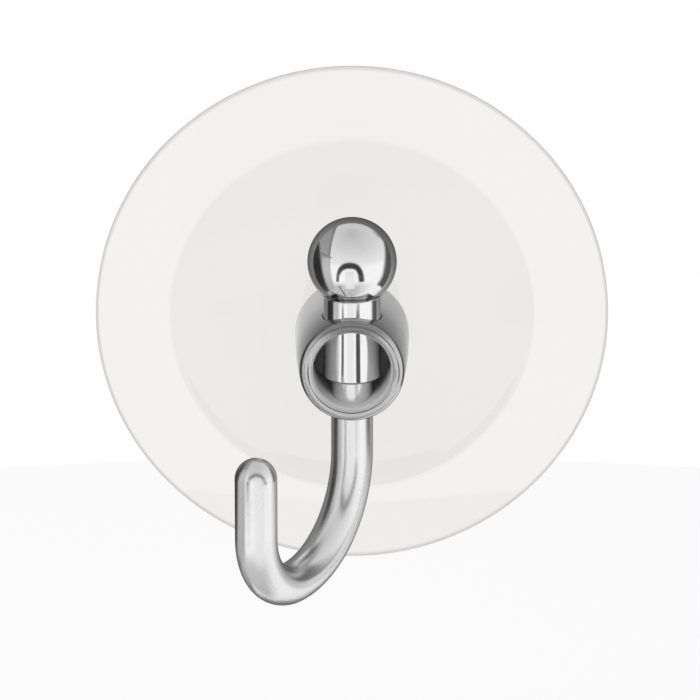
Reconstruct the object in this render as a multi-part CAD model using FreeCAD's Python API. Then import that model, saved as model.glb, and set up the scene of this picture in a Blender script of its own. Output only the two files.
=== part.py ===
"""Suction cup hook: a clear cup, a chromed collar on its knob, and a J rod held by a ball finial.

Millimetres. The origin is the centre of the cup's wall face, +Z is up and the wall's face is Y = 0.
Everything stands out from the wall towards -Y, so a depth in this file is a distance from the wall.
"""
import FreeCAD, Part

import math
import os

from FreeCAD import Vector

# Suction cup, one clear moulding
CUP_DIAMETER = 60.0
LIP_WIDTH = 8.7
LIP_EDGE_THICKNESS = 0.8
LIP_ROOT_THICKNESS = 1.5
LIP_EDGE_ROUND = 0.3
CHAMBER_STEP_HEIGHT = 0.45
CHAMBER_STEP_WIDTH = 0.35
CHAMBER_DEPTH = 2.0
BOSS_DIAMETER = 10.4
BOSS_HEIGHT = 0.6
SHOULDER_DEPTH = 7.3
DOME_LEAN = 6.8
DOME_SWEEP_WIDTH = 2.4
DOME_SWEEP_DROP = 2.8
KNOB_NECK_DIAMETER = 6.0
KNOB_NECK_LENGTH = 1.8
KNOB_HEAD_DIAMETER = 8.0
KNOB_HEAD_LENGTH = 3.2
KNOB_HEAD_CHAMFER = 1.1

# Collar, a turned sleeve with a socket behind and an open mouth in front
COLLAR_BACK_DIAMETER = 13.2
COLLAR_FRONT_DIAMETER = 12.0
COLLAR_CROWN = 0.15
COLLAR_BACK_ROUND = 0.5
RIM_WIDTH = 1.55
WEB_THICKNESS = 1.8
MOUTH_CORNER_ROUND = 1.2
SOCKET_CLEARANCE = 0.1
GAP_BEHIND_NECK = 0.5
RIM_AHEAD_OF_NECK = 1.1
HOLE_EDGE_BREAK = 0.15

# Ball finial, turned in one with its neck
BALL_DIAMETER = 10.2
NECK_DIAMETER = 6.6
NECK_VISIBLE_LENGTH = 1.75
NECK_FOOT_BELOW_AXIS = 1.9
NECK_FOOT_CHAMFER = 0.25
NECK_ROOT_ROUND = 0.3
NECK_FIT_CLEARANCE = 0.02

# J rod, a bent bar with a spigot at the top and a round tip
ROD_DIAMETER = 4.8
SHANK_BELOW_COLLAR = 4.7
BACK_BEND_RADIUS = 12.3
BACK_BEND_ANGLE = 90.0
FRONT_BEND_RADIUS = 7.4
TIP_LENGTH = 7.1
HOOK_TURN = 33.2
ROD_SHOULDER_CHAMFER = 0.25
ROD_FIT_CLEARANCE = 0.02
SPIGOT_DIAMETER = 3.2
SPIGOT_LENGTH = 4.4
SPIGOT_CHAMFER = 0.3
SPIGOT_FIT_CLEARANCE = 0.02
SPIGOT_END_GAP = 0.4

# Places that follow from the sizes above
WALL_AXIS = Vector(0, 1, 0)
UP = Vector(0, 0, 1)
SAME_PLACE = 1e-3
EDGE_SAMPLES = 9
cup_radius = CUP_DIAMETER / 2
chamber_radius = cup_radius - LIP_WIDTH
boss_radius = BOSS_DIAMETER / 2
boss_foot_depth = SHOULDER_DEPTH - BOSS_HEIGHT
knob_groove_end = SHOULDER_DEPTH + KNOB_NECK_LENGTH
knob_end = knob_groove_end + KNOB_HEAD_LENGTH
socket_end = knob_end + SOCKET_CLEARANCE
mouth_floor = socket_end + WEB_THICKNESS
shank_depth = mouth_floor + GAP_BEHIND_NECK + NECK_DIAMETER / 2
rim_depth = shank_depth + NECK_DIAMETER / 2 + RIM_AHEAD_OF_NECK
rim_round = RIM_WIDTH / 2
mouth_radius = COLLAR_FRONT_DIAMETER / 2 - RIM_WIDTH
side_start = SHOULDER_DEPTH + COLLAR_BACK_ROUND
side_end = rim_depth - rim_round
side_taper = (COLLAR_BACK_DIAMETER - COLLAR_FRONT_DIAMETER) / 2 / (side_end - side_start)
collar_radius_at_shank = COLLAR_FRONT_DIAMETER / 2 + (side_end - shank_depth) * side_taper
neck_root = collar_radius_at_shank + NECK_VISIBLE_LENGTH
ball_height = neck_root + math.sqrt((BALL_DIAMETER / 2) ** 2 - (NECK_DIAMETER / 2) ** 2)
bend_start = -(collar_radius_at_shank + SHANK_BELOW_COLLAR)


def section_point(radius, depth):
    """A point of a turned section: radius from the wall axis, depth out from the wall."""
    return Vector(radius, -depth, 0)


def straight_edges(points):
    """Straight edges through the points, in order."""
    return [Part.makeLine(start, end) for start, end in zip(points, points[1:])]


def corner_arc(centre, radius, start_angle, end_angle):
    """An arc in the section plane. Angles are in degrees, from +X towards +Y."""
    angles = [math.radians(a) for a in (start_angle, (start_angle + end_angle) / 2, end_angle)]
    points = [centre + Vector(radius * math.cos(a), radius * math.sin(a), 0) for a in angles]
    return Part.Arc(*points).toShape()


def turned(edges):
    """The solid that a closed section sweeps in one turn about the wall axis."""
    section = Part.Face(Part.Wire(Part.sortEdges(edges)[0]))
    return section.revolve(Vector(0, 0, 0), WALL_AXIS, 360)


def shank_cylinder(diameter, bottom, top):
    """An upright cylinder on the shank's axis, between two heights."""
    return Part.makeCylinder(diameter / 2, top - bottom, Vector(0, -shank_depth, bottom), UP)


def edges_at_height(shape, height):
    """Edges of the shape that lie wholly in one horizontal plane."""
    boxes = [(edge, edge.BoundBox) for edge in shape.Edges]
    return [edge for edge, box in boxes if max(abs(box.ZMin - height), abs(box.ZMax - height)) < SAME_PLACE]


def cup_underside():
    """Contact ring against the wall, the step inside it and the shallow vacuum chamber."""
    edge_radius = chamber_radius - CHAMBER_STEP_WIDTH
    chamber_edge = section_point(edge_radius, CHAMBER_STEP_HEIGHT)
    quarter_fall = (CHAMBER_DEPTH - CHAMBER_STEP_HEIGHT) / 4
    half_way = section_point(edge_radius / 2, CHAMBER_DEPTH - quarter_fall)
    roof = Part.Arc(section_point(0, CHAMBER_DEPTH), half_way, chamber_edge).toShape()
    ring = [chamber_edge, section_point(chamber_radius, 0), section_point(cup_radius, 0)]
    return [roof] + straight_edges(ring)


def cup_top():
    """Rounded lip edge, tapering lip and the dome that sweeps up to the boss."""
    edge_foot = section_point(cup_radius, LIP_EDGE_THICKNESS - LIP_EDGE_ROUND)
    edge_centre = section_point(cup_radius - LIP_EDGE_ROUND, LIP_EDGE_THICKNESS - LIP_EDGE_ROUND)
    lip_edge = section_point(cup_radius - LIP_EDGE_ROUND, LIP_EDGE_THICKNESS)
    lip_root = section_point(chamber_radius, LIP_ROOT_THICKNESS)
    lip_run = (lip_root - lip_edge).normalize()
    boss_foot = section_point(boss_radius, boss_foot_depth)
    sweep = section_point(boss_radius + DOME_SWEEP_WIDTH, boss_foot_depth - DOME_SWEEP_DROP)
    dome = Part.BezierCurve()
    dome.setPoles([lip_root, lip_root + lip_run * DOME_LEAN, sweep, boss_foot])
    return [
        Part.makeLine(section_point(cup_radius, 0), edge_foot),
        corner_arc(edge_centre, LIP_EDGE_ROUND, 0, -90),
        Part.makeLine(lip_edge, lip_root),
        dome.toShape(),
        Part.makeLine(boss_foot, section_point(boss_radius, SHOULDER_DEPTH)),
    ]


def cup_knob():
    """The mushroom knob that the collar is pressed over: a groove, then a chamfered head."""
    groove_radius = KNOB_NECK_DIAMETER / 2
    head_radius = KNOB_HEAD_DIAMETER / 2
    return straight_edges([
        section_point(boss_radius, SHOULDER_DEPTH),
        section_point(groove_radius, SHOULDER_DEPTH),
        section_point(groove_radius, knob_groove_end),
        section_point(head_radius, knob_groove_end),
        section_point(head_radius, knob_end - KNOB_HEAD_CHAMFER),
        section_point(head_radius - KNOB_HEAD_CHAMFER, knob_end),
        section_point(0, knob_end),
        section_point(0, CHAMBER_DEPTH),
    ])


def make_suction_cup():
    """The whole cup, turned about the wall axis."""
    return turned(cup_underside() + cup_top() + cup_knob())


def collar_outside():
    """Back corner, slightly crowned side and the full-round rim."""
    back_radius = COLLAR_BACK_DIAMETER / 2
    front_radius = COLLAR_FRONT_DIAMETER / 2
    back_centre = section_point(back_radius - COLLAR_BACK_ROUND, side_start)
    side_back = section_point(back_radius, side_start)
    side_front = section_point(front_radius, side_end)
    side_middle = (side_back + side_front) * 0.5 + Vector(COLLAR_CROWN, 0, 0)
    return [
        corner_arc(back_centre, COLLAR_BACK_ROUND, 90, 0),
        Part.Arc(side_back, side_middle, side_front).toShape(),
        corner_arc(section_point(front_radius - rim_round, side_end), rim_round, 0, -180),
    ]


def collar_inside():
    """Mouth with a rounded floor corner, the web behind it and the socket for the cup's knob."""
    corner = section_point(mouth_radius - MOUTH_CORNER_ROUND, mouth_floor + MOUTH_CORNER_ROUND)
    socket_radius = KNOB_HEAD_DIAMETER / 2 + SOCKET_CLEARANCE
    rib_radius = KNOB_NECK_DIAMETER / 2 + SOCKET_CLEARANCE
    rib_end = knob_groove_end - SOCKET_CLEARANCE
    mouth_wall = straight_edges([
        section_point(mouth_radius, side_end),
        section_point(mouth_radius, mouth_floor + MOUTH_CORNER_ROUND),
    ])
    floor_and_socket = straight_edges([
        section_point(mouth_radius - MOUTH_CORNER_ROUND, mouth_floor),
        section_point(0, mouth_floor),
        section_point(0, socket_end),
        section_point(socket_radius, socket_end),
        section_point(socket_radius, rib_end),
        section_point(rib_radius, rib_end),
        section_point(rib_radius, SHOULDER_DEPTH),
        section_point(COLLAR_BACK_DIAMETER / 2 - COLLAR_BACK_ROUND, SHOULDER_DEPTH),
    ])
    return mouth_wall + [corner_arc(corner, MOUTH_CORNER_ROUND, 0, 90)] + floor_and_socket


def hole_mouth_edges(collar, diameter):
    """Edges where an upright hole on the shank's axis comes out through the collar's side."""
    found = []
    for edge in collar.Edges:
        points = edge.discretize(EDGE_SAMPLES)
        on_hole = all(abs(math.hypot(p.x, p.y + shank_depth) - diameter / 2) < SAME_PLACE for p in points)
        outside = all(math.hypot(p.x, p.z) > mouth_radius + rim_round for p in points)
        if on_hole and outside:
            found.append(edge)
    return found


def make_collar():
    """The sleeve, drilled from above for the neck and from below for the rod."""
    neck_hole = NECK_DIAMETER + 2 * NECK_FIT_CLEARANCE
    rod_hole = ROD_DIAMETER + 2 * ROD_FIT_CLEARANCE
    sleeve = turned(collar_outside() + collar_inside())
    sleeve = sleeve.cut(shank_cylinder(neck_hole, 0, COLLAR_BACK_DIAMETER))
    sleeve = sleeve.cut(shank_cylinder(rod_hole, -COLLAR_BACK_DIAMETER, 0))
    mouths = hole_mouth_edges(sleeve, neck_hole) + hole_mouth_edges(sleeve, rod_hole)
    return sleeve.makeFillet(HOLE_EDGE_BREAK, mouths)


def make_ball_finial():
    """Ball and neck, bored from below for the rod's spigot."""
    foot = -NECK_FOOT_BELOW_AXIS
    ball = Part.makeSphere(BALL_DIAMETER / 2, Vector(0, -shank_depth, ball_height))
    neck = shank_cylinder(NECK_DIAMETER, foot, ball_height)
    neck = neck.makeChamfer(NECK_FOOT_CHAMFER, edges_at_height(neck, foot))
    finial = ball.fuse(neck).removeSplitter()
    finial = finial.makeFillet(NECK_ROOT_ROUND, edges_at_height(finial, neck_root))
    bore_end = foot + SPIGOT_LENGTH + SPIGOT_END_GAP
    return finial.cut(shank_cylinder(SPIGOT_DIAMETER + 2 * SPIGOT_FIT_CLEARANCE, foot, bore_end))


def hook_point(reach, height):
    """A point in the J's own plane: reach out from the shank along that plane, and height."""
    turn = math.radians(HOOK_TURN)
    return Vector(-reach * math.sin(turn), -shank_depth - reach * math.cos(turn), height)


def hook_arc(reach, height, radius, start_angle, end_angle):
    """A bend in the J's plane about a centre. Zero degrees points back at the shank, ninety down."""
    angles = [math.radians(a) for a in (start_angle, (start_angle + end_angle) / 2, end_angle)]
    points = [hook_point(reach - radius * math.cos(a), height - radius * math.sin(a)) for a in angles]
    return Part.Arc(*points).toShape()


def make_hook_rod():
    """The bent bar with its round tip, a chamfered shoulder and the spigot for the finial."""
    foot = -NECK_FOOT_BELOW_AXIS
    shoulder = hook_point(0, foot)
    inset = BACK_BEND_RADIUS - FRONT_BEND_RADIUS
    meeting = math.radians(BACK_BEND_ANGLE)
    front_reach = BACK_BEND_RADIUS - inset * math.cos(meeting)
    front_height = bend_start - inset * math.sin(meeting)
    front_end = hook_point(front_reach + FRONT_BEND_RADIUS, front_height)
    tip_end = front_end + UP * TIP_LENGTH
    path = Part.Wire([
        Part.makeLine(shoulder, hook_point(0, bend_start)),
        hook_arc(BACK_BEND_RADIUS, bend_start, BACK_BEND_RADIUS, 0, BACK_BEND_ANGLE),
        hook_arc(front_reach, front_height, FRONT_BEND_RADIUS, BACK_BEND_ANGLE, 180),
        Part.makeLine(front_end, tip_end),
    ])
    bar = path.makePipeShell([Part.Wire([Part.makeCircle(ROD_DIAMETER / 2, shoulder, UP)])], True, False)
    bar = bar.makeChamfer(ROD_SHOULDER_CHAMFER, edges_at_height(bar, foot))
    spigot = shank_cylinder(SPIGOT_DIAMETER, foot, foot + SPIGOT_LENGTH)
    spigot = spigot.makeChamfer(SPIGOT_CHAMFER, edges_at_height(spigot, foot + SPIGOT_LENGTH))
    return bar.fuse([Part.makeSphere(ROD_DIAMETER / 2, tip_end), spigot]).removeSplitter()


def main():
    """Builds each piece and writes it to its own file."""
    os.makedirs("parts", exist_ok=True)
    pieces = {
        "suction_cup": make_suction_cup(),
        "collar": make_collar(),
        "ball_finial": make_ball_finial(),
        "hook_rod": make_hook_rod(),
    }
    for name, shape in pieces.items():
        print(f"{name}: {len(shape.Solids)} solid, valid {shape.isValid()}, {shape.Volume:.1f} mm3")
        shape.Solids[0].exportStep(f"parts/{name}.step")


main()
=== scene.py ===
"""Looks of the suction cup hook: clear vinyl cup, chromed collar, ball finial and bent rod.

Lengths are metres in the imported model's own frame. The wall is the plane y = 0, the hook stands out from it
towards -y, and +z is up. The three metal pieces keep their solids and are plated here. The cup's solid is
replaced by a finer turned mesh of the same form.
"""

import logging
import math
from dataclasses import dataclass, field
from enum import Enum

import bpy
from mathutils import Matrix, Vector


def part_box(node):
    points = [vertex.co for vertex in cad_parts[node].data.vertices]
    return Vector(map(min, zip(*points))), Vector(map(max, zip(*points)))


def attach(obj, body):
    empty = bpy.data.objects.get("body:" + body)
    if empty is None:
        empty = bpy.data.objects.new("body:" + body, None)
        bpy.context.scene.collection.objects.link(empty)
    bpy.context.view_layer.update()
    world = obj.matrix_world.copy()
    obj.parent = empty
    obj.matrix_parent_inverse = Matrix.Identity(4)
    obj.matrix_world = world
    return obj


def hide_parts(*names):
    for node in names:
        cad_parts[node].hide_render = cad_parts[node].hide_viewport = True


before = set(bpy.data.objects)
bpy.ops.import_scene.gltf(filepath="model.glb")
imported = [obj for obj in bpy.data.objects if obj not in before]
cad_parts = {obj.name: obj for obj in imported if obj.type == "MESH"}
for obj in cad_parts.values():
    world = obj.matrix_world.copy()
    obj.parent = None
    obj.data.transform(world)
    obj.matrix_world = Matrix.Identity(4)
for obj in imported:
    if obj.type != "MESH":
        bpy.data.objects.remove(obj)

logging.basicConfig(level=logging.INFO, format="%(message)s")
LOG = logging.getLogger("suction_cup_hook")

MM = 0.001
PHOTO_ELEVATION = 17.8
BODY = "root"
ON_AXIS = 1e-9           # radius below which a turned point is on the axis
FINE_MARKS_PER_PATCH = 7.0
GRAIN_SHARE = 0.6        # how much of the film's cover its grain takes away
EVERY_HEIGHT = ((-90.0, 90.0),)


class Axis(Enum):
    """The line that a piece was turned and polished about."""

    WALL = (0.0, 1.0, 0.0)
    UPRIGHT = (0.0, 0.0, 1.0)


def direction(azimuth: float, elevation: float) -> Vector:
    """Unit vector towards a bearing.

    Args:
        azimuth: Degrees from -y towards +x.
        elevation: Degrees above the horizon.

    Returns:
        The vector.
    """
    bearing, rise = math.radians(azimuth), math.radians(elevation)
    return Vector((math.sin(bearing) * math.cos(rise), -math.cos(bearing) * math.cos(rise), math.sin(rise)))


class Graph:
    """Adds nodes to one tree and joins their sockets."""

    def __init__(self, tree: bpy.types.NodeTree) -> None:
        """Starts on an emptied tree.

        Args:
            tree: The node tree that is filled.
        """
        self.tree = tree
        tree.nodes.clear()

    def add(self, kind: str, values: dict | None = None, **settings: object) -> bpy.types.Node:
        """Adds a node.

        Args:
            kind: The node's type name.
            values: Values or source sockets for its inputs, by name or number.
            settings: Properties of the node itself.

        Returns:
            The node.
        """
        node = self.tree.nodes.new(kind)
        for name, value in settings.items():
            setattr(node, name, value)
        for name, value in (values or {}).items():
            self.feed(node.inputs[name], value)
        return node

    def feed(self, socket: bpy.types.NodeSocket, value: object) -> None:
        """Joins a source socket to an input, or sets the input's own value.

        Args:
            socket: The input.
            value: A source socket, a number or a tuple.
        """
        if isinstance(value, bpy.types.NodeSocket):
            self.tree.links.new(value, socket)
        else:
            socket.default_value = value

    def math(self, operation: str, *values: object) -> bpy.types.NodeSocket:
        """Adds a maths node.

        Args:
            operation: The operation's name.
            values: One entry for each input.

        Returns:
            Its result.
        """
        return self.add("ShaderNodeMath", dict(enumerate(values)), operation=operation).outputs[0]

    def mix(self, share: object, first: object, second: object) -> bpy.types.NodeSocket:
        """Blends two colours.

        Args:
            share: How much of the second.
            first: Colour where the share is 0.
            second: Colour where the share is 1.

        Returns:
            The blended colour.
        """
        node = self.add("ShaderNodeMix", data_type="RGBA")
        self.feed(node.inputs[0], share)
        self.feed(node.inputs[6], first)
        self.feed(node.inputs[7], second)
        return node.outputs[2]

    def step(self, value: object, low: float, high: float) -> bpy.types.NodeSocket:
        """A smooth step from 0 to 1.

        Args:
            value: What is measured.
            low: Where the step starts.
            high: Where it ends.

        Returns:
            The step.
        """
        span = {"Value": value, "From Min": low, "From Max": high}
        return self.add("ShaderNodeMapRange", span, interpolation_type="SMOOTHSTEP").outputs[0]

    def place(self) -> bpy.types.NodeSocket:
        """Place on the piece, in the row frame's metres."""
        return self.add("ShaderNodeTexCoord").outputs["Object"]

    def wall_radius(self, place: bpy.types.NodeSocket) -> bpy.types.NodeSocket:
        """Distance of a place from the wall axis, in metres."""
        flat = self.add("ShaderNodeVectorMath", {0: place, 1: (1.0, 0.0, 1.0)}, operation="MULTIPLY").outputs[0]
        return self.add("ShaderNodeVectorMath", {0: flat}, operation="LENGTH").outputs["Value"]


def rgba(colour: tuple[float, float, float]) -> tuple[float, float, float, float]:
    """A colour with full cover."""
    return (*colour, 1.0)


class Effects:
    """Node groups that more than one finish uses, each built once."""

    def __init__(self) -> None:
        """Builds every group."""
        self.film = self.make_film()
        self.lines = self.make_lines()
        self.ripple = self.make_ripple()

    @staticmethod
    def open_group(name: str, inputs: dict[str, str], outputs: dict[str, str]) -> tuple:
        """Makes an empty group.

        Args:
            name: The group's name.
            inputs: Socket types by socket name.
            outputs: Socket types by socket name.

        Returns:
            The group, its graph, its input node and its output node.
        """
        group = bpy.data.node_groups.new(name, "ShaderNodeTree")
        for side, sockets in (("INPUT", inputs), ("OUTPUT", outputs)):
            for socket, kind in sockets.items():
                group.interface.new_socket(name=socket, in_out=side, socket_type=kind)
        graph = Graph(group)
        return group, graph, graph.add("NodeGroupInput"), graph.add("NodeGroupOutput")

    def make_film(self) -> bpy.types.NodeTree:
        """Handling film: soft patches and finer breath marks left on a polished surface.

        Returns:
            The group. Cover is 0 where the surface is clean.
        """
        group, graph, given, made = self.open_group(
            "handling_film",
            {"Place": "NodeSocketVector", "Patch Scale": "NodeSocketFloat", "Cover": "NodeSocketFloat"},
            {"Mask": "NodeSocketFloat"},
        )
        broad = graph.add("ShaderNodeTexNoise", {
            "Vector": given.outputs["Place"], "Scale": given.outputs["Patch Scale"], "Detail": 4.0,
            "Roughness": 0.55, "Distortion": 0.4})
        fine_scale = graph.math("MULTIPLY", given.outputs["Patch Scale"], FINE_MARKS_PER_PATCH)
        fine = graph.add("ShaderNodeTexNoise", {
            "Vector": given.outputs["Place"], "Scale": fine_scale, "Detail": 3.0, "Roughness": 0.6})
        patches = graph.step(broad.outputs[0], 0.48, 0.68)
        grain = graph.step(fine.outputs[0], 0.35, 0.75)
        worn = graph.math("MULTIPLY", patches, graph.math("MULTIPLY_ADD", grain, GRAIN_SHARE, 1.0 - GRAIN_SHARE))
        graph.feed(made.inputs["Mask"], graph.math("MULTIPLY", worn, given.outputs["Cover"]))
        return group

    def make_lines(self) -> bpy.types.NodeTree:
        """Turning lines: fine rings about the axis that a piece was polished on.

        Returns:
            The group. Height is in metres.
        """
        group, graph, given, made = self.open_group(
            "turning_lines",
            {"Place": "NodeSocketVector", "Axis": "NodeSocketVector", "Lines": "NodeSocketFloat",
             "Depth": "NodeSocketFloat"},
            {"Height": "NodeSocketFloat"},
        )
        along = graph.add("ShaderNodeVectorMath", {0: given.outputs["Place"], 1: given.outputs["Axis"]},
                          operation="DOT_PRODUCT").outputs["Value"]
        across = graph.add("ShaderNodeVectorMath", {0: given.outputs["Place"], 1: given.outputs["Axis"]},
                           operation="CROSS_PRODUCT").outputs["Vector"]
        radius = graph.add("ShaderNodeVectorMath", {0: across}, operation="LENGTH").outputs["Value"]
        reading = graph.math("ADD", along, radius)
        cut = graph.add("ShaderNodeTexNoise", {
            "W": graph.math("MULTIPLY", reading, given.outputs["Lines"]), "Scale": 1.0, "Detail": 3.0,
            "Roughness": 0.65}, noise_dimensions="1D")
        graph.feed(made.inputs["Height"], graph.math("MULTIPLY", cut.outputs[0], given.outputs["Depth"]))
        return group

    def make_ripple(self) -> bpy.types.NodeTree:
        """Surface ripple: the slow waviness of a buffed or moulded surface.

        Returns:
            The group. Height is in metres.
        """
        group, graph, given, made = self.open_group(
            "surface_ripple",
            {"Place": "NodeSocketVector", "Waves": "NodeSocketFloat", "Depth": "NodeSocketFloat"},
            {"Height": "NodeSocketFloat"},
        )
        slow = graph.add("ShaderNodeTexNoise", {
            "Vector": given.outputs["Place"], "Scale": given.outputs["Waves"], "Detail": 1.5,
            "Roughness": 0.4})
        graph.feed(made.inputs["Height"], graph.math("MULTIPLY", slow.outputs[0], given.outputs["Depth"]))
        return group


def grouped(graph: Graph, group: bpy.types.NodeTree, values: dict) -> bpy.types.NodeSocket:
    """Places a group in a material.

    Args:
        graph: The material's graph.
        group: The group.
        values: Its inputs, by name.

    Returns:
        Its first output.
    """
    node = graph.add("ShaderNodeGroup", node_tree=group)
    for name, value in values.items():
        graph.feed(node.inputs[name], value)
    return node.outputs[0]


@dataclass(frozen=True)
class ChromePlate:
    """Bright chrome plate on a polished piece.

    Attributes:
        name: The material's name, which is also the record's slot.
        tone: Reflectance looking straight on.
        film_tone: Reflectance where it has been handled.
        edge_tint: How much of the light it keeps near a grazing view.
        roughness: Micro roughness of the clean plate.
        film_roughness: Roughness that handling adds.
        film_scale: Patches of the handling film in a metre.
        axis: The axis that it was polished about.
        line_depth: Depth of the polishing lines, in metres.
        lines: Polishing lines in a metre.
        ripple_depth: Depth of the slow waves, in metres.
        waves: Slow waves in a metre.
    """

    name: str
    tone: tuple[float, float, float] = (0.90, 0.90, 0.905)
    film_tone: tuple[float, float, float] = (0.84, 0.84, 0.85)
    edge_tint: float = 0.42
    roughness: float = 0.075
    film_roughness: float = 0.05
    film_scale: float = 210.0
    axis: Axis = Axis.UPRIGHT
    line_depth: float = 2.5e-7
    lines: float = 9000.0
    ripple_depth: float = 6e-6
    waves: float = 260.0

    def base(self, graph: Graph, place: bpy.types.NodeSocket, film: bpy.types.NodeSocket) -> tuple:
        """Colour, metallic share and roughness of the plate.

        Args:
            graph: The material's graph.
            place: Place on the piece.
            film: Cover of the handling film.

        Returns:
            The three values or sockets.
        """
        colour = graph.mix(film, rgba(self.tone), rgba(self.film_tone))
        return colour, 1.0, graph.math("MULTIPLY_ADD", film, self.film_roughness, self.roughness)

    def make(self, effects: Effects) -> bpy.types.Material:
        """Builds the material.

        Args:
            effects: The shared groups.

        Returns:
            The material.
        """
        material = bpy.data.materials.new(self.name)
        material.use_nodes = True
        graph = Graph(material.node_tree)
        place = graph.place()
        film = grouped(graph, effects.film, {"Place": place, "Patch Scale": self.film_scale, "Cover": 1.0})
        colour, metallic, roughness = self.base(graph, place, film)
        lines = grouped(graph, effects.lines, {
            "Place": place, "Axis": self.axis.value, "Lines": self.lines, "Depth": self.line_depth})
        ripple = grouped(graph, effects.ripple, {
            "Place": place, "Waves": self.waves, "Depth": self.ripple_depth})
        bump = graph.add("ShaderNodeBump", {"Height": graph.math("ADD", lines, ripple), "Distance": 1.0})
        shader = graph.add("ShaderNodeBsdfPrincipled", {
            "Base Color": colour,
            "Metallic": metallic,
            "Roughness": roughness,
            "Specular Tint": rgba((self.edge_tint,) * 3),
            "Normal": bump.outputs[0],
        })
        graph.add("ShaderNodeOutputMaterial", {"Surface": shader.outputs[0]})
        return material


@dataclass(frozen=True)
class SleevePlate(ChromePlate):
    """Collar chrome, darker than the other pieces' as painted shade, with a dull bore whose pale tone is painted
    light.

    Attributes:
        bore_painted_light_tone: Colour of the bore, pale as painted light.
        bore_metallic: How much of the bore shines as metal.
        bore_roughness: Roughness of the bore.
        bore_radius: Radius of the bore, in metres.
        bore_blur: Width over which the polish starts at the mouth, in metres.
        bore_depth: Depth from the wall beyond which the bore is open, in metres.
        crown_height: Height at which the rim's crown, a band of painted shade, starts, in metres.
        crown_blur: Distance over which it starts, upwards and forwards, in metres.
        crown_depth: Depth from the wall beyond which the crown lies, in metres.
        crown_painted_shade_tone: Colour of the crown, a painted shade.
        crown_roughness: Roughness that the crown adds.
    """

    # Painted shade: the collar's tone and film tone are far darker than the other chrome pieces'.
    tone: tuple[float, float, float] = (0.57, 0.57, 0.575)
    film_tone: tuple[float, float, float] = (0.51, 0.51, 0.52)
    edge_tint: float = 0.75
    roughness: float = 0.13
    bore_painted_light_tone: tuple[float, float, float] = (0.58, 0.58, 0.58)
    bore_metallic: float = 0.2
    bore_roughness: float = 0.5
    bore_radius: float = 4.5 * MM
    bore_blur: float = 0.3 * MM
    bore_depth: float = 12.5 * MM
    crown_height: float = 3.4 * MM
    crown_blur: float = 1.6 * MM
    crown_depth: float = 21.0 * MM
    crown_painted_shade_tone: tuple[float, float, float] = (0.26, 0.26, 0.265)
    crown_roughness: float = 0.22

    def base(self, graph: Graph, place: bpy.types.NodeSocket, film: bpy.types.NodeSocket) -> tuple:
        """Colour, metallic share and roughness, with the crown's painted shade and the bore's painted light."""
        colour, _, roughness = super().base(graph, place, film)
        radius = graph.wall_radius(place)
        parts = graph.add("ShaderNodeSeparateXYZ", {0: place}).outputs
        depth = graph.math("MULTIPLY", parts["Y"], -1.0)
        # Painted shade: the crown, high on the rim and far from the wall, is made darker and rougher.
        top = graph.step(parts["Z"], self.crown_height, self.crown_height + self.crown_blur)
        front = graph.step(depth, self.crown_depth, self.crown_depth + self.crown_blur)
        crown = graph.math("MULTIPLY", top, front)
        colour = graph.mix(crown, colour, rgba(self.crown_painted_shade_tone))
        roughness = graph.math("MULTIPLY_ADD", crown, self.crown_roughness, roughness)
        # Painted light: inside the bore radius, deep in the collar, the plate turns pale, dull and less metallic.
        outside = graph.step(radius, self.bore_radius, self.bore_radius + self.bore_blur)
        inside = graph.math("SUBTRACT", 1.0, outside)
        bore = graph.math("MULTIPLY", inside, graph.math("GREATER_THAN", depth, self.bore_depth))
        dull = graph.math("MULTIPLY_ADD", film, self.film_roughness, self.bore_roughness)
        gain = graph.math("MULTIPLY", graph.math("SUBTRACT", dull, roughness), bore)
        metallic = graph.math("MULTIPLY_ADD", bore, self.bore_metallic - 1.0, 1.0)
        return graph.mix(bore, colour, rgba(self.bore_painted_light_tone)), metallic, graph.math("ADD", roughness, gain)


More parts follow.
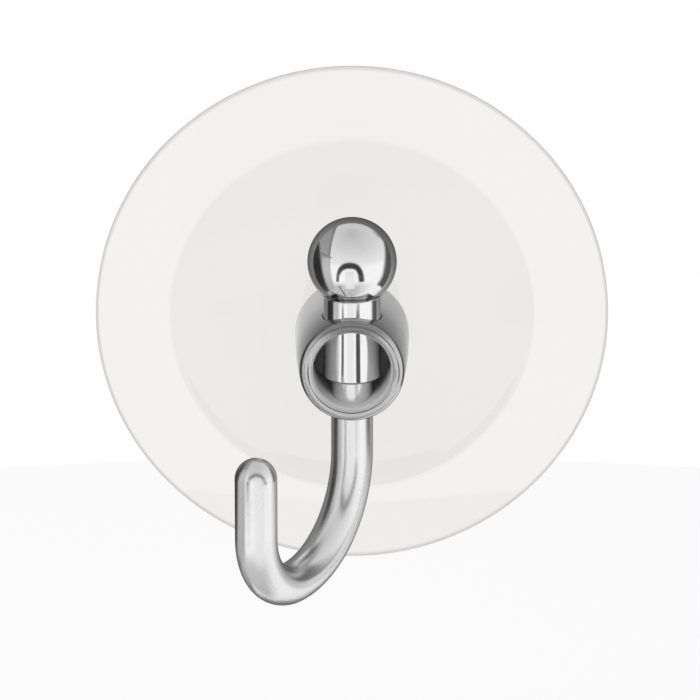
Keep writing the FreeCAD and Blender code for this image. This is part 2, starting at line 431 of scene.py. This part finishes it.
@dataclass(frozen=True)
class ClearVinyl:
    """Clear soft vinyl, tinted as painted shade: the dome darker than the contact ring, the outer edge darker
    still.

    Attributes:
        name: The material's name, which is also the record's slot.
        dome_painted_shade_tone: Tint of the part over the vacuum chamber, darker than the ring's as painted
            shade.
        ring_tone: Tint of the contact ring.
        edge_painted_shade_tone: Tint of the outermost edge, a painted dark outline.
        edge_start: Distance inside the outer radius at which the edge's tint starts, in metres.
        edge_end: Distance inside the outer radius at which it is full, in metres.
        zone_blur: Width of the change from dome to ring, in metres.
        roughness: Micro roughness of the clean vinyl.
        film_roughness: Roughness that handling adds.
        film_scale: Patches of the handling film in a metre.
        ripple_depth: Depth of the slow waves, in metres.
        waves: Slow waves in a metre.
        index: Refractive index.
    """

    name: str = "clear_vinyl"
    dome_painted_shade_tone: tuple[float, float, float] = (0.83, 0.823, 0.807)
    ring_tone: tuple[float, float, float] = (0.896, 0.888, 0.871)
    edge_painted_shade_tone: tuple[float, float, float] = (0.64, 0.63, 0.64)
    edge_start: float = 0.48 * MM
    edge_end: float = 0.12 * MM
    zone_blur: float = 0.25 * MM
    roughness: float = 0.04
    film_roughness: float = 0.05
    film_scale: float = 70.0
    ripple_depth: float = 8e-6
    waves: float = 90.0
    index: float = 1.25

    def make(self, effects: Effects, cup_radius: float, chamber_radius: float) -> bpy.types.Material:
        """Builds the material.

        Args:
            effects: The shared groups.
            cup_radius: Outer radius of the cup.
            chamber_radius: Radius at which the contact ring starts.

        Returns:
            The material.
        """
        material = bpy.data.materials.new(self.name)
        material.use_nodes = True
        graph = Graph(material.node_tree)
        place = graph.place()
        radius = graph.wall_radius(place)
        on_ring = graph.step(radius, chamber_radius - self.zone_blur, chamber_radius + self.zone_blur)
        on_edge = graph.step(radius, cup_radius - self.edge_start, cup_radius - self.edge_end)
        film = grouped(graph, effects.film, {"Place": place, "Patch Scale": self.film_scale, "Cover": 1.0})
        ripple = grouped(graph, effects.ripple, {
            "Place": place, "Waves": self.waves, "Depth": self.ripple_depth})
        bump = graph.add("ShaderNodeBump", {"Height": ripple, "Distance": 1.0})
        # Painted shade: the dome is tinted darker than the contact ring, and the outermost edge darker again.
        zones = graph.mix(on_ring, rgba(self.dome_painted_shade_tone), rgba(self.ring_tone))
        shader = graph.add("ShaderNodeBsdfPrincipled", {
            "Base Color": graph.mix(on_edge, zones, rgba(self.edge_painted_shade_tone)),
            "Roughness": graph.math("MULTIPLY_ADD", film, self.film_roughness, self.roughness),
            "IOR": self.index,
            "Transmission Weight": 1.0,
            "Normal": bump.outputs[0],
        })
        graph.add("ShaderNodeOutputMaterial", {"Surface": shader.outputs[0]})
        return material


def new_mesh_object(name: str, points: list, faces: list, smooth: bool = True) -> bpy.types.Object:
    """Makes a mesh object in the scene.

    Args:
        name: The object's name.
        points: Its points.
        faces: Its faces, as tuples of point numbers.
        smooth: Whether its faces are shaded smooth.

    Returns:
        The object.
    """
    mesh = bpy.data.meshes.new(name)
    mesh.from_pydata([tuple(p) for p in points], [], faces)
    mesh.update()
    mesh.polygons.foreach_set("use_smooth", [smooth] * len(mesh.polygons))
    piece = bpy.data.objects.new(name, mesh)
    bpy.context.scene.collection.objects.link(piece)
    return piece


def dress(piece: bpy.types.Object, material: bpy.types.Material) -> None:
    """Gives a piece one material.

    Args:
        piece: The object.
        material: What it is made of.
    """
    piece.data.materials.clear()
    piece.data.materials.append(material)


@dataclass
class SuctionCup:
    """The clear cup, turned about the wall axis from its own section."""

    lip_width: float = 8.7 * MM
    lip_edge_thickness: float = 0.8 * MM
    lip_root_thickness: float = 1.5 * MM
    lip_edge_round: float = 0.3 * MM
    step_height: float = 0.45 * MM
    step_width: float = 1.3 * MM
    chamber_depth: float = 2.0 * MM
    boss_radius: float = 5.2 * MM
    boss_height: float = 0.6 * MM
    shoulder_depth: float = 7.3 * MM
    dome_lean: float = 6.8 * MM
    sweep_width: float = 2.4 * MM
    sweep_drop: float = 2.8 * MM
    groove_radius: float = 3.0 * MM
    groove_length: float = 1.8 * MM
    head_radius: float = 4.0 * MM
    head_length: float = 3.2 * MM
    head_chamfer: float = 1.1 * MM
    segments: int = 256
    roof_steps: int = 20
    dome_steps: int = 40
    round_steps: int = 10
    contact_gap: float = 0.01 * MM
    sharp_angle: float = 28.0
    radius: float = field(init=False)
    chamber_radius: float = field(init=False)

    def __post_init__(self) -> None:
        """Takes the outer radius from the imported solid."""
        low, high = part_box("suction_cup")
        self.radius = (high.x - low.x) / 2
        self.chamber_radius = self.radius - self.lip_width

    def underside(self) -> list[tuple[float, float]]:
        """Section of the chamber's roof and the step, from the centre out to the contact ring."""
        edge = self.chamber_radius - self.step_width
        rise = self.chamber_depth - self.step_height
        roof = []
        for i in range(self.roof_steps + 1):
            share = i / self.roof_steps
            roof.append((edge * share, self.chamber_depth - rise * share ** 2))
        fall = self.step_height - self.contact_gap
        step = []
        for i in range(1, self.round_steps + 1):
            share = i / self.round_steps
            step.append((edge + self.step_width * share, self.step_height - fall * soft_step(share)))
        return roof + step + [(self.chamber_radius + self.contact_gap, 0.0), (self.radius, 0.0)]

    def lip(self) -> list[tuple[float, float]]:
        """Section of the rounded edge and the tapering lip, inwards."""
        height = self.lip_edge_thickness - self.lip_edge_round
        points = []
        for i in range(self.round_steps + 1):
            angle = math.pi / 2 * i / self.round_steps
            points.append((self.radius - self.lip_edge_round * (1 - math.cos(angle)),
                           height + self.lip_edge_round * math.sin(angle)))
        return points

    def dome(self) -> list[tuple[float, float]]:
        """Section of the dome's sweep from the lip up to the boss."""
        edge = Vector((self.radius - self.lip_edge_round, self.lip_edge_thickness))
        root = Vector((self.chamber_radius, self.lip_root_thickness))
        lean = root + (root - edge).normalized() * self.dome_lean
        foot = Vector((self.boss_radius, self.shoulder_depth - self.boss_height))
        sweep = foot + Vector((self.sweep_width, -self.sweep_drop))
        points = []
        for i in range(self.dome_steps + 1):
            t = i / self.dome_steps
            at = root * (1 - t) ** 3 + lean * 3 * t * (1 - t) ** 2 + sweep * 3 * t ** 2 * (1 - t) + foot * t ** 3
            points.append((at.x, at.y))
        return points

    def knob(self) -> list[tuple[float, float]]:
        """Section of the boss, the groove and the head that the collar is pressed over."""
        groove_end = self.shoulder_depth + self.groove_length
        head_end = groove_end + self.head_length
        return [
            (self.boss_radius, self.shoulder_depth),
            (self.groove_radius, self.shoulder_depth),
            (self.groove_radius, groove_end),
            (self.head_radius, groove_end),
            (self.head_radius, head_end - self.head_chamfer),
            (self.head_radius - self.head_chamfer, head_end),
            (0.0, head_end),
        ]

    def make(self, effects: Effects) -> bpy.types.Object:
        """Builds and dresses the cup.

        Args:
            effects: The shared groups.

        Returns:
            The cup.
        """
        section = self.underside() + self.lip() + self.dome() + self.knob()
        piece = turned_mesh("vinyl_cup", section, self.segments)
        piece.data.set_sharp_from_angle(angle=math.radians(self.sharp_angle))
        dress(piece, ClearVinyl().make(effects, self.radius, self.chamber_radius))
        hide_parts("suction_cup")
        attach(piece, BODY)
        return piece


def turned_mesh(name: str, section: list[tuple[float, float]], segments: int) -> bpy.types.Object:
    """Turns a section about the wall axis. Points on the axis become single poles.

    Args:
        name: The object's name.
        section: Radius and distance from the wall, from one pole to the other.
        segments: Steps round the axis.

    Returns:
        The object.
    """
    points, rings = [], []
    for radius, depth in section:
        if radius < ON_AXIS:
            rings.append([len(points)] * segments)
            points.append((0.0, -depth, 0.0))
            continue
        rings.append(list(range(len(points), len(points) + segments)))
        for i in range(segments):
            angle = 2 * math.pi * i / segments
            points.append((radius * math.cos(angle), -depth, radius * math.sin(angle)))
    faces = []
    for inner, outer in zip(rings, rings[1:]):
        for i in range(segments):
            j = (i + 1) % segments
            corners = [inner[i], inner[j], outer[j], outer[i]]
            faces.append(tuple(dict.fromkeys(corners)))
    return new_mesh_object(name, points, faces)


@dataclass
class Collar:
    """The turned sleeve that holds the post and the rod."""

    finish: ChromePlate = SleevePlate("collar_chrome", axis=Axis.WALL)

    def make(self, effects: Effects) -> bpy.types.Object:
        """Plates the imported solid.

        Args:
            effects: The shared groups.

        Returns:
            The collar.
        """
        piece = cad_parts["collar"]
        dress(piece, self.finish.make(effects))
        return piece


@dataclass
class BallFinial:
    """The ball with its neck."""

    finish: ChromePlate = ChromePlate("finial_chrome")

    def make(self, effects: Effects) -> bpy.types.Object:
        """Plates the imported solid.

        Args:
            effects: The shared groups.

        Returns:
            The finial.
        """
        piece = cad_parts["ball_finial"]
        dress(piece, self.finish.make(effects))
        return piece


@dataclass
class HookRod:
    """The bent rod."""

    finish: ChromePlate = ChromePlate("rod_chrome", roughness=0.25, ripple_depth=1e-5)

    def make(self, effects: Effects) -> bpy.types.Object:
        """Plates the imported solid.

        Args:
            effects: The shared groups.

        Returns:
            The rod.
        """
        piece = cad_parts["hook_rod"]
        dress(piece, self.finish.make(effects))
        return piece


@dataclass(frozen=True)
class Spot:
    """One corner of a card's grid.

    Attributes:
        place: Where it is.
        tone: How bright the card is there.
        cover: 0 where the card has faded out, and 1 where it is whole.
    """

    place: Vector
    tone: float
    cover: float = 1.0


def soft_step(value: float) -> float:
    """A smooth step from 0 at 0 to 1 at 1.

    Args:
        value: What is measured.

    Returns:
        The step.
    """
    share = max(0.0, min(1.0, value))
    return share * share * (3 - 2 * share)


def blend(first: float, second: float, share: float) -> float:
    """A number on the way from one to another."""
    return first + (second - first) * share


@dataclass(frozen=True)
class Card:
    """A sheet that only reflections see, made from a grid of spots.

    Attributes:
        name: The object's name.
        distance: Distance from the centre, in metres.
        centre: What the card is curved about.
        steps: Steps along each side of the grid.
    """

    name: str
    distance: float
    centre: tuple[float, float, float] = (0.0, -18 * MM, 0.0)
    steps: int = 48

    def spot(self, across: float, along: float) -> Spot:
        """One corner of the grid.

        Args:
            across: Share of the way across the card.
            along: Share of the way along it.

        Returns:
            The spot.
        """
        raise NotImplementedError

    def make(self) -> bpy.types.Object:
        """Builds the card.

        Returns:
            The card.
        """
        count = self.steps + 1
        spots = [self.spot(j / self.steps, i / self.steps) for i in range(count) for j in range(count)]
        starts = [i * count + j for i in range(self.steps) for j in range(self.steps)]
        faces = [(at, at + 1, at + count + 1, at + count) for at in starts]
        card = new_mesh_object(self.name, [spot.place for spot in spots], faces)
        for name, values in (("tone", [s.tone for s in spots]), ("cover", [s.cover for s in spots])):
            card.data.attributes.new(name, "FLOAT", "POINT").data.foreach_set("value", values)
        dress(card, self.paint())
        show_to_reflections(card)
        return card

    def paint(self) -> bpy.types.Material:
        """The card's evenly lit front. It is clear where it fades out, and from behind."""
        material = bpy.data.materials.new(self.name)
        material.use_nodes = True
        graph = Graph(material.node_tree)
        tone = graph.add("ShaderNodeAttribute", attribute_name="tone").outputs["Color"]
        cover = graph.add("ShaderNodeAttribute", attribute_name="cover").outputs["Fac"]
        front = graph.math("SUBTRACT", 1.0, graph.add("ShaderNodeNewGeometry").outputs["Backfacing"])
        lit = graph.add("ShaderNodeEmission", {"Color": tone})
        clear = graph.add("ShaderNodeBsdfTransparent")
        share = graph.math("MULTIPLY", cover, front)
        both = graph.add("ShaderNodeMixShader", {0: share, 1: clear.outputs[0], 2: lit.outputs[0]})
        graph.add("ShaderNodeOutputMaterial", {"Surface": both.outputs[0]})
        return material


@dataclass(frozen=True)
class BandCard(Card):
    """A card between two bearings and two elevations.

    Attributes:
        azimuth: First and last bearing, in degrees from -y towards +x.
        elevation: First and last elevation, in degrees.
        tones: Brightness at the bottom and at the top.
        fade: Degrees over which each side fades out: left, right, bottom and top.
        curve: Power of the change of brightness with height.
    """

    azimuth: tuple[float, float] = (0.0, 0.0)
    elevation: tuple[float, float] = (0.0, 0.0)
    tones: tuple[float, float] = (1.0, 1.0)
    fade: tuple[float, float, float, float] = (2.0, 2.0, 2.0, 2.0)
    curve: float = 1.0

    def spot(self, across: float, along: float) -> Spot:
        """One corner of the grid, from the last bearing to the first and from the bottom up."""
        azimuth = blend(self.azimuth[1], self.azimuth[0], across)
        elevation = blend(self.elevation[0], self.elevation[1], along)
        left, right, bottom, top = self.fade
        sides = [(azimuth - self.azimuth[0], left), (self.azimuth[1] - azimuth, right),
                 (elevation - self.elevation[0], bottom), (self.elevation[1] - elevation, top)]
        cover = math.prod(soft_step(inside / width) for inside, width in sides if width > 0)
        place = Vector(self.centre) + direction(azimuth, elevation) * self.distance
        return Spot(place, blend(*self.tones, along ** self.curve), cover)


@dataclass(frozen=True)
class RoundCard(Card):
    """A round card with a thin line at its rim.

    Attributes:
        azimuth: Bearing of its middle.
        elevation: Elevation of its middle.
        radius: Its radius in degrees, as the centre sees it.
        tones: Brightness at the bottom and at the top.
        rim_tone: Brightness of the line.
        rim_width: Width of the line in degrees.
        fade: Degrees over which the card fades out beyond the line.
    """

    azimuth: float = 0.0
    elevation: float = 0.0
    radius: float = 60.0
    tones: tuple[float, float] = (1.0, 1.0)
    rim_tone: float = 0.3
    rim_width: float = 3.0
    fade: float = 1.5

    def spot(self, across: float, along: float) -> Spot:
        """One corner of the grid, round the card and from its middle out."""
        middle = direction(self.azimuth, self.elevation)
        side = direction(self.azimuth + 90, 0.0)
        turn, spread = math.radians(360 * across), math.radians(self.radius * along)
        towards = side * math.cos(turn) + middle.cross(side) * math.sin(turn)
        ray = middle * math.cos(spread) + towards * math.sin(spread)
        inside = self.radius * (1 - along)
        tone = blend(*self.tones, (ray.z + 1) / 2)
        line = soft_step((self.rim_width + self.fade - inside) / self.fade)
        return Spot(Vector(self.centre) + ray * self.distance, blend(tone, self.rim_tone, line),
                    soft_step(inside / self.fade))


@dataclass(frozen=True)
class StripCard(Card):
    """A curved strip that stands round the ball, laid where the ball shows it from the front.

    Attributes:
        knots: Points of its middle line, each with its place across and up the ball's face, half of the strip's
            width there, all as shares of the ball's radius, and its brightness.
        windows: Lowest and highest elevation of each stretch that is there.
        window_blur: Degrees over which a stretch ends.
        ball_radius: Radius of the ball.
        soft: Share of the half width over which its sides fade.
        ends: Share of its length over which its ends fade.
        run_step: Share of its length over which its direction is read.
        face_limit: Farthest place on the ball's face, as a share of its radius.
    """

    knots: tuple[tuple[float, float, float, float], ...] = ()
    windows: tuple[tuple[float, float], ...] = EVERY_HEIGHT
    window_blur: float = 1.5
    ball_radius: float = 5.1 * MM
    soft: float = 0.6
    ends: float = 0.06
    run_step: float = 0.01
    face_limit: float = 0.985
    steps: int = 96

    def knot(self, along: float) -> Vector:
        """The knots' smooth line at a share of its length."""
        at = along * (len(self.knots) - 1)
        first = min(int(at), len(self.knots) - 2)
        share = at - first
        last = len(self.knots) - 1
        a, b, c, d = (Vector(self.knots[max(0, min(last, first + i))]) for i in (-1, 0, 1, 2))
        return 0.5 * (2 * b + (c - a) * share + (2 * a - 5 * b + 4 * c - d) * share ** 2
                      + (3 * b - a - 3 * c + d) * share ** 3)

    def spot(self, across: float, along: float) -> Spot:
        """One corner of the grid, across the strip's width and along it."""
        here = self.knot(along)
        before, after = self.knot(max(0.0, along - self.run_step)), self.knot(min(1.0, along + self.run_step))
        run = Vector((after[0] - before[0], after[1] - before[1])).normalized()
        offset = (2 * across - 1) * here[2]
        face = Vector((here[0] - run.y * offset, here[1] + run.x * offset))
        if face.length > self.face_limit:
            face *= self.face_limit / face.length
        back = direction(0.0, PHOTO_ELEVATION)
        right = direction(90.0, 0.0)
        normal = right * face.x + back.cross(right) * face.y + back * math.sqrt(1 - face.length_squared)
        ray = 2 * normal.dot(back) * normal - back
        lean = self.ball_radius * normal.dot(ray)
        reach = math.sqrt(lean ** 2 + self.distance ** 2 - self.ball_radius ** 2) - lean
        side = min(across, 1 - across) * 2 / self.soft
        end = min(along, 1 - along) / self.ends
        height = math.degrees(math.asin(ray.z))
        inside = max(min(height - low, high - height) for low, high in self.windows)
        cover = soft_step(side) * soft_step(end) * soft_step(0.5 + inside / self.window_blur)
        return Spot(Vector(self.centre) + normal * self.ball_radius + ray * reach, here[3], cover)


@dataclass(frozen=True)
class VeilCard(Card):
    """A flat ring in front of the cup, so that the chrome sees the cup as a shaded grey.

    Attributes:
        hole: Radius of its hole.
        tones: Brightness low left, low right, high left and high right.
        near_tones: Brightness beside the hole, left and right.
        near_width: Width of that brighter zone.
        fade: Width over which its outer edge fades out.
    """

    hole: float = 6.8 * MM
    tones: tuple[float, float, float, float] = (0.3, 0.3, 0.3, 0.3)
    near_tones: tuple[float, float] = (0.5, 0.5)
    near_width: float = 7 * MM
    fade: float = 3 * MM

    def spot(self, across: float, along: float) -> Spot:
        """One corner of the grid, round the ring and from the hole out."""
        turn = math.radians(-360 * across)
        radius = blend(self.hole, self.distance, along)
        offset = Vector((math.cos(turn), 0.0, math.sin(turn))) * radius
        right, high = (soft_step(0.5 + value / (2 * self.distance)) for value in (offset.x, offset.z))
        low_left, low_right, high_left, high_right = self.tones
        tone = blend(blend(low_left, low_right, right), blend(high_left, high_right, right), high)
        side = soft_step(0.5 + offset.x / (2 * self.near_width))
        tone = blend(blend(*self.near_tones, side), tone, soft_step((radius - self.hole) / self.near_width))
        return Spot(Vector(self.centre) + offset, tone, soft_step((self.distance - radius) / self.fade))


def show_to_reflections(piece: bpy.types.Object) -> None:
    """Hides a studio piece from every ray but reflections.

    Args:
        piece: The object.
    """
    piece.visible_camera = False
    piece.visible_diffuse = False
    piece.visible_transmission = False
    piece.visible_shadow = False


# The lines that the ball's strips follow, each a row of knots.
BALL_LINES = {
    "low_left": ((-0.58, 0.10, 0.11, 0.50), (-0.58, -0.16, 0.13, 0.56), (-0.53, -0.42, 0.13, 0.52),
                 (-0.45, -0.64, 0.10, 0.44)),
    "seam": ((-0.70, 0.19, 0.030, 0.22), (-0.57, 0.13, 0.030, 0.24), (-0.45, 0.07, 0.025, 0.34)),
    "left": ((-0.80, 0.62, 0.05, 0.16), (-0.80, 0.42, 0.11, 0.06), (-0.79, 0.06, 0.13, 0.03),
             (-0.75, -0.22, 0.13, 0.03), (-0.67, -0.49, 0.12, 0.04), (-0.54, -0.70, 0.08, 0.10)),
    "right": ((0.46, -0.74, 0.06, 0.14), (0.58, -0.62, 0.11, 0.11), (0.76, -0.38, 0.15, 0.10),
              (0.83, -0.13, 0.17, 0.10), (0.84, 0.13, 0.155, 0.09), (0.79, 0.38, 0.11, 0.11),
              (0.68, 0.58, 0.06, 0.16), (0.52, 0.76, 0.04, 0.25)),
    "glow": ((-0.06, -0.22, 0.13, 0.80), (-0.05, -0.42, 0.16, 0.90), (-0.04, -0.62, 0.14, 0.84)),
    "arch": ((-0.32, -0.64, 0.04, 0.16), (-0.325, -0.53, 0.045, 0.16), (-0.315, -0.33, 0.05, 0.12),
             (-0.26, -0.19, 0.075, 0.07), (-0.16, -0.115, 0.095, 0.05), (-0.02, -0.10, 0.10, 0.05),
             (0.105, -0.14, 0.095, 0.05), (0.18, -0.25, 0.09, 0.05), (0.208, -0.40, 0.09, 0.07),
             (0.222, -0.54, 0.08, 0.09), (0.218, -0.64, 0.07, 0.12)),
}

# The strips: name, line, distance from the ball's centre and windows.
BALL_STRIPS = (
    ("ball_low_left_card", "low_left", 52 * MM, EVERY_HEIGHT),
    ("ball_right_card", "right", 50 * MM, ((-44.0, 90.0),)),
    ("ball_left_card", "left", 50 * MM, EVERY_HEIGHT),
    ("ball_seam_card", "seam", 49 * MM, EVERY_HEIGHT),
    ("ball_glow_card", "glow", 51 * MM, EVERY_HEIGHT),
    ("ball_arch_card", "arch", 50 * MM, ((-20.75, 90.0), (-37.0, -24.25))),
    ("ball_low_arch_card", "arch", 125 * MM, ((-25.0, -20.0),)),
)


@dataclass
class Studio:
    """Pale floor, soft light, white surround and the grey cards that the chrome reflects."""

    floor_height: float = -0.12
    floor_radius: float = 0.30
    floor_colour: float = 0.56
    floor_glow: float = 0.40
    floor_rings: int = 12
    floor_segments: int = 96
    surround_light: float = 0.88
    lamp_place: tuple[float, float, float] = (-0.30, -0.55, 0.62)
    lamp_width: float = 0.50
    lamp_power: float = 2.5
    ball_centre: tuple[float, float, float] = (0.0, -18 * MM, 11.8 * MM)

    def cards(self) -> list[Card]:
        """The cards, from the farthest to the nearest."""
        return [
            BandCard("ceiling_card", 0.60, azimuth=(-180.0, 180.0), elevation=(-4.0, 90.0), tones=(0.98, 0.54),
                     fade=(0.0, 0.0, 16.0, 0.0), curve=0.7),
            BandCard("high_back_card", 0.50, azimuth=(115.0, 245.0), elevation=(4.0, 48.0), tones=(0.16, 0.30),
                     fade=(18.0, 18.0, 8.0, 18.0)),
            BandCard("right_back_card", 0.26, azimuth=(78.0, 200.0), elevation=(-34.0, 14.0), tones=(0.56, 0.40),
                     fade=(50.0, 8.0, 8.0, 22.0)),
            RoundCard("left_panel_card", 0.115, azimuth=-116.0, elevation=-3.0, radius=60.5, tones=(0.44, 0.30),
                      rim_tone=0.22, rim_width=5.0, fade=2.5),
            BandCard("left_streak_card", 0.110, azimuth=(-152.0, -102.0), elevation=(-45.0, 8.0),
                     tones=(0.14, 0.17), fade=(6.0, 8.0, 8.0, 12.0)),
            BandCard("low_back_card", 0.105, azimuth=(125.0, 235.0), elevation=(-82.0, -10.0), tones=(0.26, 0.30),
                     fade=(20.0, 10.0, 6.0, 6.0)),
            BandCard("low_left_card", 0.100, azimuth=(-95.0, 85.0), elevation=(-89.0, -24.0), tones=(0.50, 0.62),
                     fade=(14.0, 80.0, 0.0, 24.0)),
            VeilCard("cup_veil_card", 31 * MM, (0.0, -6.8 * MM, 0.0), tones=(0.20, 0.62, 0.26, 0.11),
                     near_tones=(1.0, 0.80)),
        ] + [StripCard(name, distance, self.ball_centre, knots=BALL_LINES[line], windows=windows)
             for name, line, distance, windows in BALL_STRIPS]

    def make(self) -> None:
        """Builds the whole studio."""
        self.make_floor()
        self.make_world()
        self.make_lamp()
        for card in self.cards():
            card.make()

    @staticmethod
    def seen_directly(graph: Graph) -> bpy.types.NodeSocket:
        """1 for camera, glossy and transmission rays, and 0 for the rays that light the object.

        Args:
            graph: The graph of the material or world.

        Returns:
            The share.
        """
        path = graph.add("ShaderNodeLightPath").outputs
        direct = graph.math("MAXIMUM", path["Is Camera Ray"], path["Is Glossy Ray"])
        return graph.math("MAXIMUM", direct, path["Is Transmission Ray"])

    def make_floor(self) -> None:
        """Builds the round pale floor below the hook."""
        rings, segments = self.floor_rings, self.floor_segments
        points, faces = [Vector((0.0, 0.0, self.floor_height))], []
        for ring in range(1, rings + 1):
            reach = self.floor_radius * ring / rings
            for i in range(segments):
                angle = 2 * math.pi * i / segments
                points.append(Vector((reach * math.cos(angle), reach * math.sin(angle), self.floor_height)))
        for i in range(segments):
            j = (i + 1) % segments
            faces.append((0, 1 + i, 1 + j))
            for ring in range(rings - 1):
                inner, outer = 1 + ring * segments, 1 + (ring + 1) * segments
                faces.append((inner + i, outer + i, outer + j, inner + j))
        floor = new_mesh_object("floor", points, faces)
        material = bpy.data.materials.new("floor")
        material.use_nodes = True
        graph = Graph(material.node_tree)
        matt = graph.add("ShaderNodeBsdfDiffuse", {"Color": rgba((self.floor_colour,) * 3)})
        glow = graph.add("ShaderNodeEmission", {
            "Strength": graph.math("MULTIPLY", self.seen_directly(graph), self.floor_glow)})
        both = graph.add("ShaderNodeAddShader", {0: matt.outputs[0], 1: glow.outputs[0]})
        graph.add("ShaderNodeOutputMaterial", {"Surface": both.outputs[0]})
        dress(floor, material)

    def make_world(self) -> None:
        """Sets a plain surround that is white to look at and a little softer as light."""
        world = bpy.data.worlds.new("surround")
        bpy.context.scene.world = world
        world.use_nodes = True
        graph = Graph(world.node_tree)
        light = rgba((self.surround_light,) * 3)
        colour = graph.mix(self.seen_directly(graph), light, rgba((1.0, 1.0, 1.0)))
        back = graph.add("ShaderNodeBackground", {"Color": colour})
        graph.add("ShaderNodeOutputWorld", {"Surface": back.outputs[0]})

    def make_lamp(self) -> None:
        """Hangs one soft lamp above and left of the camera."""
        data = bpy.data.lights.new("soft_lamp", "AREA")
        data.shape = "SQUARE"
        data.size = self.lamp_width
        data.energy = self.lamp_power
        lamp = bpy.data.objects.new("soft_lamp", data)
        bpy.context.scene.collection.objects.link(lamp)
        place = Vector(self.lamp_place)
        lamp.matrix_world = Matrix.Translation(place) @ (-place).to_track_quat("-Z", "Y").to_matrix().to_4x4()
        lamp.visible_glossy = False
        lamp.visible_transmission = False


@dataclass
class PhotoCamera:
    """The camera, at the photograph's angle and distance."""

    azimuth: float = 0.0
    elevation: float = PHOTO_ELEVATION
    distance: float = 0.700
    sensor: float = 36.0
    picture: float = 700.0
    scale: float = 8.533 / MM
    cup_pixel: tuple[float, float] = (352.0, 313.2)

    def make(self) -> bpy.types.Object:
        """Places the camera so that the cup's centre falls on its pixel.

        Returns:
            The camera.
        """
        back = direction(self.azimuth, self.elevation)
        right = direction(self.azimuth + 90, 0.0)
        up = back.cross(right)
        across = (self.cup_pixel[0] - self.picture / 2) / self.scale
        down = (self.cup_pixel[1] - self.picture / 2) / self.scale
        data = bpy.data.cameras.new("photo_camera")
        data.sensor_width = self.sensor
        data.lens = self.sensor * self.scale * self.distance / self.picture
        data.clip_start = self.distance / 20
        camera = bpy.data.objects.new("photo_camera", data)
        bpy.context.scene.collection.objects.link(camera)
        turn = Matrix((right, up, back)).transposed().to_4x4()
        camera.matrix_world = Matrix.Translation(back * self.distance - right * across + up * down) @ turn
        bpy.context.scene.camera = camera
        return camera


def main() -> None:
    """Builds the camera, the studio and each piece in turn."""
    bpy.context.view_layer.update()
    bpy.context.scene.view_settings.view_transform = "Standard"
    PhotoCamera().make()
    Studio().make()
    effects = Effects()
    for part in (SuctionCup(), Collar(), BallFinial(), HookRod()):
        piece = part.make(effects)
        LOG.info("%s: %d faces", piece.name, len(piece.data.polygons))


if __name__ == "__main__":
    main()
